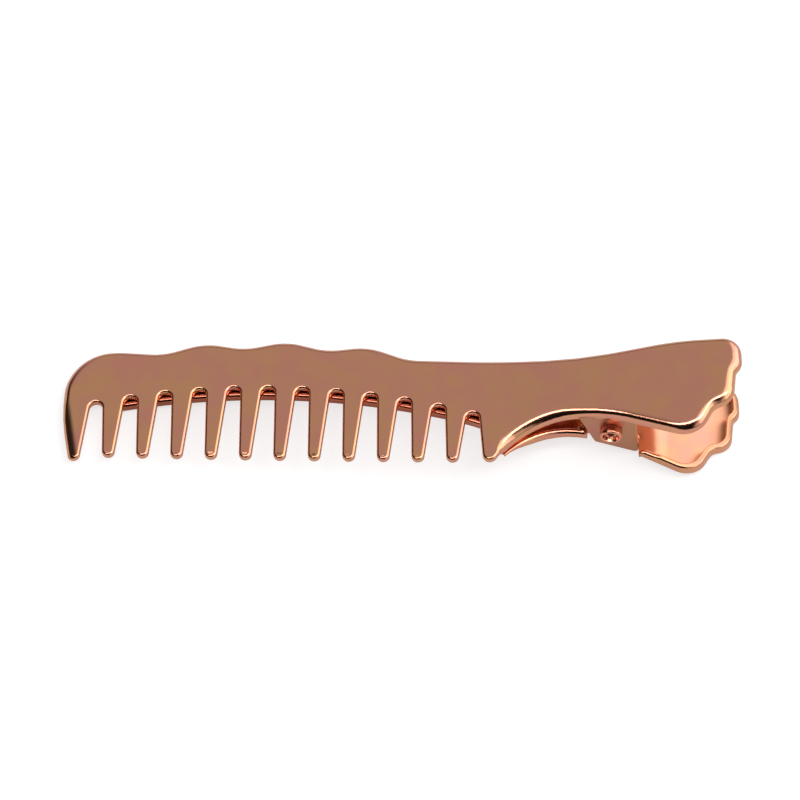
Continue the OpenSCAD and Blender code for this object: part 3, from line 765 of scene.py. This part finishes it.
class ArmShape:
    """The lower arm's side view and plan, in the clip's own frame."""

    def __init__(self, context):
        scene = context.scene
        c, a, h = (sizes(group) for group in (scene.clip_comb, scene.clip_arm, scene.clip_hinge))
        self.c, self.a, self.h = c, a, h
        self.middle = (c.neck_near + c.neck_far) / 2
        self.half = h.saddle_w / 2 - h.saddle_t - h.side_clear
        self.jaw_under = -c.sheet - a.jaw_gap - (a.sheet + a.lip_h)
        self.corner_x = h.pin_x - CORNER_LEAD
        self.ramp = (a.floor_drop + self.jaw_under) / (self.corner_x - RAMP_X)
        self.lever = (a.lever_drop - a.floor_drop) / (c.handle_len - self.corner_x)
        self.ear_from, self.ear_to = h.pin_x - h.ear_front, h.pin_x + h.ear_rear
        self.slim_from, self.slim_to = self.ear_from + EAR_ROOM, self.ear_to + EAR_GAP
        self.pin_z = top_curve(c, h.pin_x) - h.pin_drop
        self.lobe = hook_side(c) + polar(LOBE_UP, QUARTER - c.hook_lean) + polar(a.inset, pi - c.hook_lean)

    def under(self, x):
        """Height of the underside at x."""
        return (self.jaw_under - self.ramp * soft_step(x - RAMP_X, RAMP_LEAD)
                - (self.lever - self.ramp) * soft_step(x - self.corner_x, CORNER_SOFT))

    def cuts(self):
        """Places of the cuts across the bends."""
        return (steps_between(RAMP_X - RAMP_LEAD, RAMP_X + RAMP_LEAD, RAMP_CUTS)
                + steps_between(self.corner_x - CORNER_SOFT, self.corner_x + CORNER_SOFT, CORNER_CUTS))

    def plan(self):
        """Corners [x, y, radius] of the plan; it follows the upper outline and is slim between the ears."""
        c, a, middle = self.c, self.a, self.middle
        bm = bmesh.new()
        ring, _, on_rim = comb_outline(bm, c, self.h.pin_x)
        points = [v.co.xy for v in ring]
        inner = [p + n * a.inset for p, n, rim in zip(points, inward(points), on_rim) if rim]
        bm.free()
        neck_to = self.slim_from - STEP_RUN
        lever_from = self.slim_to + STEP_RUN + a.short
        neck = [p for p in inner if ARM_FROM < p.x < neck_to]
        near = [p for p in neck if p.y < middle]
        far = [p for p in neck if p.y > middle]
        rim = [p for p in inner if p.x > lever_from]
        lever = [Vector((lever_from, rim[0].y))] + rim + [Vector((lever_from, rim[-1].y))]
        lever = [p - Vector((a.short, 0)) for p in lever]
        boss = spaced(self.slim_from, self.slim_to, BOSS_PARTS)
        tip = (0.5 - c.slots) * c.pitch + a.jaw_room
        width = c.back_w - c.wave_h - c.rim_t - a.jaw_room
        jaw = spaced(tip + JAW_LEAD, ARM_FROM - JAW_STEP, JAW_PARTS)
        plan = [self.lobe] + near + [(neck_to, near[-1].y)]
        near_side = [Vector((x, middle - self.half)) for x in boss]
        far_side = [Vector((x, middle + self.half)) for x in reversed(boss)]
        plan += near_side + self.between(near_side[-1], lever[0]) + lever
        plan += self.between(lever[-1], far_side[0]) + far_side
        plan += far + [(ARM_FROM, far[-1].y)] + [(x, root_height(c, x) + width) for x in reversed(jaw)]
        tips = [(tip, root_height(c, tip) + width, JAW_ROUND),
                (tip, root_height(c, tip) - a.jaw_show, JAW_ROUND)]
        tail = [(x, root_height(c, x) - a.jaw_show) for x in jaw] + [self.lobe + LOBE_STEP]
        return [(p[0], p[1], 0) for p in plan] + tips + [(p[0], p[1], 0) for p in tail]

    @staticmethod
    def between(start, stop):
        """Points that divide the step behind an ear."""
        return [start.lerp(stop, k / STEP_PARTS) for k in range(1, STEP_PARTS)]

    def wall(self, p):
        """Height of the wall's top above the underside at a point of the plan."""
        if (p - self.lobe - LOBE_STEP).length < SAME:
            return self.a.sheet
        higher = 1 + (LEVER_LIP - 1) * eased((p.x - self.slim_to) / LEVER_RUN - 1)
        lip = self.a.sheet + self.a.lip_h * higher * self.lip_share(p)
        beside = abs(abs(p.y - self.middle) - self.half) < SAME
        if not (beside and self.slim_from < p.x < self.slim_to):
            return lip
        pin_x = self.h.pin_x
        reach = pin_x - self.slim_from if p.x < pin_x else self.slim_to - pin_x
        top = self.pin_z + self.h.pin_d / 2 + BOSS_WALL - self.under(p.x)
        return lip + (top - lip) * eased((reach - abs(p.x - pin_x)) / (BOSS_SIDE * reach))

    def lip_share(self, p):
        """0 at the step behind the ears, where the arm has no lip, and 1 away from it."""
        return eased((abs(p.x - self.slim_to - STEP_RUN / 2) - STEP_RUN) / LIP_RUN)

    def section(self, p):
        """The sheet's section at a point of the plan, from its underside round the lip to its floor."""
        a, top = self.a, self.wall(p)
        slim = LIP_LEAST + (1 - LIP_LEAST) * self.lip_share(p)
        narrow = slim * (LOBE_SLIM + (1 - LOBE_SLIM) * eased((p - self.lobe).length / SLIM_RUN))
        lip_in, fillet = (min(r, (top - a.sheet) / 2) for r in (a.lip_in_r, a.fillet))
        arc = quarter(LIP_STEPS)
        rows = [(a.under_r + FLAT_LIP, 0)]
        rows += [(a.under_r * first, a.under_r * last) for first, last in arc]
        rows += [(a.lip_r * last, top - slim * a.lip_r * first) for first, last in arc]
        rows += [(a.lip_t - a.lip_in_r * first, top - lip_in * last) for first, last in arc]
        rows += [(a.lip_t + a.fillet * last, a.sheet + fillet * first) for first, last in arc[1:]]
        rows.append((a.lip_t + a.fillet + FLAT_LIP, a.sheet))
        thin = LOBE_THIN + (1 - LOBE_THIN) * eased((p - self.lobe).length / LOBE_RUN)
        return [(inset * narrow, top - (top - z) * thin) for inset, z in rows]


class CLIP_OT_lower_arm(Operator):
    """Builds the lower arm: jaw, ramp, hinge walls and lever"""

    bl_idname = "clip.lower_arm"
    bl_label = "Lower arm"

    def execute(self, context):
        arm = ArmShape(context)
        bm = bmesh.new()
        ring, _ = round_corners(bm, arm.plan())
        loft(bm, ring, [arm.section(v.co.xy) for v in ring])
        bend(bm, arm.cuts(), arm.under)
        grain = bm.loops.layers.uv.new(GRAIN)
        for face in bm.faces:
            for corner in face.loops:
                corner[grain].uv = corner.vert.co.xy
        finish_piece(bm, "lower_arm_shell", "lower", "lower_arm",
                     plating("brushed_rose", context.scene.clip_finish, brushed=True))
        return {"FINISHED"}


FOOT_ROUND, EAR_SLANT = 0.5, 1.4  # an ear's foot: its radius and its place behind the front
WEB_FRONT, WEB_REAR, SLAB_STEPS = 0.6, 0.9, 4  # the web's ends inside the ears' ends; steps round an edge


def slab(bm, corners, low, high, edge):
    """A plate standing in the side view, between two places across the clip, with rounded edges."""
    plate = bmesh.new()
    ring, _ = round_corners(plate, corners)
    rows = [(edge + FLAT_LIP, low)]
    rows += [(edge * first, low + edge * last) for first, last in quarter(SLAB_STEPS)]
    rows += [(edge * last, high - edge * first) for first, last in quarter(SLAB_STEPS)]
    rows.append((edge + FLAT_LIP, high))
    loft(plate, ring, [rows] * len(ring))
    for v in plate.verts:
        v.co = v.co.xzy
    mesh = bpy.data.meshes.new("plate")
    plate.to_mesh(mesh)
    plate.free()
    bm.from_mesh(mesh)
    bpy.data.meshes.remove(mesh)


class CLIP_OT_hinge_saddle(Operator):
    """Builds the hinge saddle: a web under the sheet and two ears outside the lower arm"""

    bl_idname = "clip.hinge_saddle"
    bl_label = "Hinge saddle"

    def execute(self, context):
        arm = ArmShape(context)
        c, h = arm.c, arm.h

        def sheet(x, drop=0.0):
            return (x, top_curve(c, x) - c.sheet - drop, 0)

        def foot(x, drop=0.0):
            return (x, arm.under(x) - drop, FOOT_ROUND)

        ear = [sheet(arm.ear_from), foot(arm.ear_from + EAR_SLANT),
               foot(arm.ear_to, h.ear_tail), sheet(arm.ear_to)]
        web_from, web_to = arm.ear_from + WEB_FRONT, arm.ear_to - WEB_REAR
        web = [sheet(web_from), sheet(web_from, h.saddle_t), sheet(web_to, h.saddle_t), sheet(web_to)]
        bm = bmesh.new()
        near, far = arm.middle - h.saddle_w / 2, arm.middle + h.saddle_w / 2
        slab(bm, ear, near, near + h.saddle_t, h.saddle_edge)
        slab(bm, ear, far - h.saddle_t, far, h.saddle_edge)
        slab(bm, web, near + h.saddle_t, far - h.saddle_t, h.saddle_edge)
        # The saddle's plating carries painted shade, a darker colour.
        finish_piece(bm, "hinge_saddle_shell", "upper", "hinge_saddle",
                     plating("satin_rose", context.scene.clip_finish, satin=True))
        return {"FINISHED"}


RIVET_STEPS, HEAD_ROUND = 48, 0.22
HOLLOW_IN, HOLLOW_OUT, HOLLOW_ROUND, ARC_PARTS = 0.1, 0.08, 0.12, 5  # the hollow's foot, mouth and edges


class CLIP_OT_hinge_rivet(Operator):
    """Builds the hinge rivet with its two hollow heads"""

    bl_idname = "clip.hinge_rivet"
    bl_label = "Hinge rivet"

    def execute(self, context):
        arm = ArmShape(context)
        h = arm.h
        half, top, out = h.saddle_w / 2, h.saddle_w / 2 + h.head_h, h.head_d / 2
        line = [(0, top - h.dimple_h), (h.dimple_r - HOLLOW_IN, top - h.dimple_h),
                (h.dimple_r + HOLLOW_OUT, top), (out, top), (out, half),
                (h.pin_d / 2, half), (h.pin_d / 2, 0)]
        bm = bmesh.new()
        row = [bm.verts.new((h.pin_x + r, arm.middle - y, arm.pin_z)) for r, y in line]
        for pair in zip(row, row[1:]):
            bm.edges.new(pair)
        for vert, r in ((row[3], HEAD_ROUND), (row[2], HOLLOW_ROUND), (row[1], HOLLOW_ROUND)):
            bmesh.ops.bevel(bm, geom=[vert], offset=r, offset_type="OFFSET", segments=ARC_PARTS, profile=0.5,
                            affect="VERTICES", material=-1, clamp_overlap=True)
        pin = (h.pin_x, arm.middle, arm.pin_z)
        bmesh.ops.spin(bm, geom=bm.verts[:] + bm.edges[:], cent=pin, axis=(0, 1, 0), dvec=(0, 0, 0),
                       angle=2 * pi, steps=RIVET_STEPS, use_merge=True, use_duplicate=False)
        bmesh.ops.remove_doubles(bm, verts=bm.verts, dist=MERGE_DIST)
        bmesh.ops.mirror(bm, geom=bm.verts[:] + bm.edges[:] + bm.faces[:], axis="Y", merge_dist=MERGE_DIST,
                         matrix=Matrix.Translation((-pin[0], -pin[1], -pin[2])))
        finish_piece(bm, "hinge_rivet_pin", "upper", "hinge_rivet",
                     plating("bright_rose", context.scene.clip_finish))
        return {"FINISHED"}


WIRE_SIDES, COIL_STEPS, LOOP_STEPS = 14, 22, 8
SPRING_ROOM, WIRE_EDGE, WIRE_ROUND = 0.1, 0.06, 0.04  # room beside the wire; its end's rounded edge


class CLIP_OT_torsion_spring(Operator):
    """Builds the torsion spring: two coils on the pin, legs under the handle and a loop on the lever"""

    bl_idname = "clip.torsion_spring"
    bl_label = "Torsion spring"

    def execute(self, context):
        arm = ArmShape(context)
        h, c, a = arm.h, arm.c, arm.a
        pin = Vector((h.pin_x, arm.middle, arm.pin_z))
        outer, inner = arm.half - a.lip_t - h.wire_d / 2 - SPRING_ROOM, h.bridge_w / 2
        leg_x = h.pin_x + h.leg_reach
        leg_z = top_curve(c, leg_x) - c.sheet - h.wire_d / 2 - SPRING_ROOM
        loop_z = arm.under(leg_x) + a.sheet + h.wire_d / 2 + SPRING_ROOM

        def leaves(z, way):
            d = Vector((leg_x - pin.x, z - pin.z))
            return atan2(d.y, d.x) + way * acos(h.coil_r / d.length)

        def on_coil(turn, y):
            return pin + Vector((h.coil_r * cos(turn), y, h.coil_r * sin(turn)))

        start, stop = leaves(leg_z, 1), leaves(loop_z, -1) + 2 * pi
        sweep = stop - start + 2 * pi
        leg = Vector((leg_x, pin.y + outer, leg_z))
        along = (on_coil(start, outer) - leg).normalized()
        bm = bmesh.new()
        across = along.to_track_quat("Z", "Y").to_matrix().to_4x4()
        row = bmesh.ops.create_circle(bm, segments=WIRE_SIDES, radius=h.wire_d / 2, cap_ends=True,
                                      matrix=Matrix.Translation(leg) @ across)["verts"]
        bmesh.ops.inset_region(bm, faces=bm.faces[:], thickness=WIRE_EDGE, depth=WIRE_ROUND)
        row = self.move_on(bm, row, on_coil(start, outer) - leg)
        coil_steps = ceil(COIL_STEPS * sweep / (2 * pi))
        slide = Vector((0, (inner - outer) / coil_steps, 0))
        row = self.turn(bm, row, pin, (0, -1, 0), sweep, coil_steps, slide)
        loop = Vector((leg_x, pin.y + inner, loop_z))
        ahead = loop - on_coil(stop, inner)
        row = self.move_on(bm, row, ahead)
        axis = ahead.cross(Vector((0, 1, 0))).normalized()
        for v in self.turn(bm, row, loop - Vector((0, inner, 0)), axis, -QUARTER, LOOP_STEPS, Vector()):
            v.co.y = pin.y
        bmesh.ops.mirror(bm, geom=bm.verts[:] + bm.edges[:] + bm.faces[:], axis="Y", merge_dist=MERGE_DIST,
                         matrix=Matrix.Translation((0, -pin.y, 0)))
        wire = finish_piece(bm, "torsion_spring_wire", None, "torsion_spring",
                            spring_steel(context.scene.clip_finish))
        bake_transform(wire)
        return {"FINISHED"}

    @staticmethod
    def move_on(bm, row, by):
        """Extrudes a round row of vertices straight on."""
        edges = [e for e in bm.edges if e.verts[0] in row and e.verts[1] in row]
        made = bmesh.ops.extrude_edge_only(bm, edges=edges)["geom"]
        fresh = [v for v in made if isinstance(v, bmesh.types.BMVert)]
        bmesh.ops.translate(bm, verts=fresh, vec=by)
        return fresh

    @staticmethod
    def turn(bm, row, centre, axis, turn, steps, slide):
        """Spins a round row of vertices about an axis."""
        edges = [e for e in bm.edges if e.verts[0] in row and e.verts[1] in row]
        made = bmesh.ops.spin(bm, geom=edges + list(row), cent=centre, axis=axis, dvec=slide, angle=turn,
                              steps=steps, use_merge=False, use_duplicate=False)["geom_last"]
        return [v for v in made if isinstance(v, bmesh.types.BMVert)]


SENSOR, CLOSEST = 36, 0.01  # the camera's sensor in millimetres and its nearest distance
FLOOR_SIZE, FLOOR_ROUGH = 6, 0.9
FLOOR_LIFT, MIRRORED = 0.72, 0.3  # white added to the floor for the camera; the share that metal mirrors
LAMP_AT, LAMP_LEAN, LAMP_TURN = (0.05, 0, 0.62), radians(16), radians(15)
# The surrounding light: each area is a product of smooth steps [direction, start, stop, levels at both]
WALL = (("Y", -0.2, -0.06, 0.0, 0.53), ("X", -0.75, -0.35, 0.06, 1.0), ("Z", 0.0, 0.4, 0.35, 1.0))
WINDOW = (("aside", 0.15, 0.4, 0.0, 1.0), ("Z", 0.0, 0.18, 0.0, 1.0), ("X", 0.0, 0.25, 0.0, 1.1))
PEAK = (("X", 0.35, 0.6, 0.0, 0.7), ("Z", 0.0, 0.18, 0.0, 1.0))
ASIDE, LEAST_LIGHT = 0.9, 0.008  # weight of Y in the slanting direction, and the light everywhere else


class CLIP_OT_stage(Operator):
    """Builds the pale floor, the soft light and the camera"""

    bl_idname = "clip.stage"
    bl_label = "Stage"

    def execute(self, context):
        scene = context.scene
        self.camera(scene, scene.clip_stage)
        self.floor(scene.clip_finish)
        self.world(scene)
        self.lamp(scene.clip_stage)
        scene.view_settings.view_transform = "Standard"
        return {"FINISHED"}

    @staticmethod
    def camera(scene, stage):
        """Places the camera."""
        data = bpy.data.cameras.new("clip_camera")
        data.lens = stage.lens
        data.sensor_width = SENSOR
        data.clip_start = CLOSEST
        camera = placed("clip_camera", data)
        place, aim = Vector(stage.camera_at), Vector(stage.aim_at)
        back = (place - aim).normalized()
        up = back.cross(Vector(stage.right)).normalized()
        turn = Matrix((up.cross(back), up, back)).transposed().to_4x4()
        camera.matrix_world = Matrix.Translation(place) @ turn
        scene.camera = camera

    @staticmethod
    def floor(finish):
        """Lays the floor, which is white to the camera and keeps the clip's shadow."""
        bm = bmesh.new()
        bmesh.ops.create_grid(bm, x_segments=1, y_segments=1, size=FLOOR_SIZE)
        mesh = bpy.data.meshes.new("pale_floor")
        bm.to_mesh(mesh)
        bm.free()
        material = bpy.data.materials.new("pale_floor")
        nodes = Nodes(material)
        rays = nodes.add("LightPath")
        mirrored = nodes.math("MAXIMUM", rays["Is Glossy Ray"], rays["Is Transmission Ray"])
        shown = nodes.math("MULTIPLY_ADD", mirrored, MIRRORED, rays["Is Camera Ray"])
        nodes.surface({"Base Color": (*finish.floor, 1), "Roughness": FLOOR_ROUGH, "Specular IOR Level": 0.0,
                       "Emission Color": (1, 1, 1, 1),
                       "Emission Strength": nodes.math("MULTIPLY", shown, FLOOR_LIFT)})
        mesh.materials.append(material)
        floor = placed("pale_floor", mesh)

    @staticmethod
    def world(scene):
        """Surrounds the clip with a pale wall, a window at the side and darkness behind the camera."""
        scene.world = bpy.data.worlds.new("soft_studio")
        nodes = Nodes(scene.world)
        axes = nodes.add("SeparateXYZ", ("Vector", nodes.add("TexCoord")["Generated"]))
        ways = {axis: axes[axis] for axis in "XYZ"}
        ways["aside"] = nodes.math("MULTIPLY_ADD", axes["Y"], ASIDE, axes["X"])

        def area(steps):
            level, *others = [nodes.ramp(ways[way], *step) for way, *step in steps]
            for other in others:
                level = nodes.math("MULTIPLY", level, other)
            return level

        level = nodes.math("ADD", nodes.math("ADD", area(WALL), area(WINDOW)), area(PEAK))
        light = nodes.add("Background", ("Strength", nodes.math("MAXIMUM", level, LEAST_LIGHT)))
        nodes.add("OutputWorld", ("Surface", light["Background"]))

    @staticmethod
    def lamp(stage):
        """Hangs the soft light over the clip."""
        data = bpy.data.lights.new("overhead_softbox", "AREA")
        data.shape = "RECTANGLE"
        data.size, data.size_y = stage.key_long, stage.key_wide
        data.energy = stage.key
        hung = Matrix.Translation(LAMP_AT) @ Matrix.Rotation(LAMP_TURN, 4, "Z")
        placed("overhead_softbox", data).matrix_world = Matrix.Rotation(LAMP_LEAN, 4, "X") @ hung


class CLIP_PT_panel(Panel):
    """The clip's sizes, finishes and builders"""

    bl_idname = "CLIP_PT_panel"
    bl_label = "Sectioning clip"
    bl_space_type = "VIEW_3D"
    bl_region_type = "UI"
    bl_category = "Clip"

    def draw(self, context):
        for group in GROUPS:
            values = getattr(context.scene, group)
            box = self.layout.box()
            for prop in properties(values):
                box.prop(values, prop.identifier)
        for operator in BUILDERS:
            self.layout.operator(operator.bl_idname)


GROUPS = {"clip_comb": ClipCombSizes, "clip_arm": ClipArmSizes, "clip_hinge": ClipHingeSizes,
          "clip_finish": ClipFinish, "clip_stage": ClipStage}
BUILDERS = (CLIP_OT_stage, CLIP_OT_comb_plate, CLIP_OT_lower_arm, CLIP_OT_hinge_saddle, CLIP_OT_hinge_rivet,
            CLIP_OT_torsion_spring)


def register():
    for cls in (*GROUPS.values(), *BUILDERS, CLIP_PT_panel):
        bpy.utils.register_class(cls)
    for name, cls in GROUPS.items():
        setattr(bpy.types.Scene, name, PointerProperty(type=cls))


def unregister():
    for name in GROUPS:
        delattr(bpy.types.Scene, name)
    for cls in reversed((*GROUPS.values(), *BUILDERS, CLIP_PT_panel)):
        bpy.utils.unregister_class(cls)


def main():
    register()
    bpy.ops.clip.stage()
    bpy.ops.clip.comb_plate()
    bpy.ops.clip.lower_arm()
    bpy.ops.clip.hinge_saddle()
    bpy.ops.clip.hinge_rivet()
    bpy.ops.clip.torsion_spring()


if __name__ == "__main__":
    main()
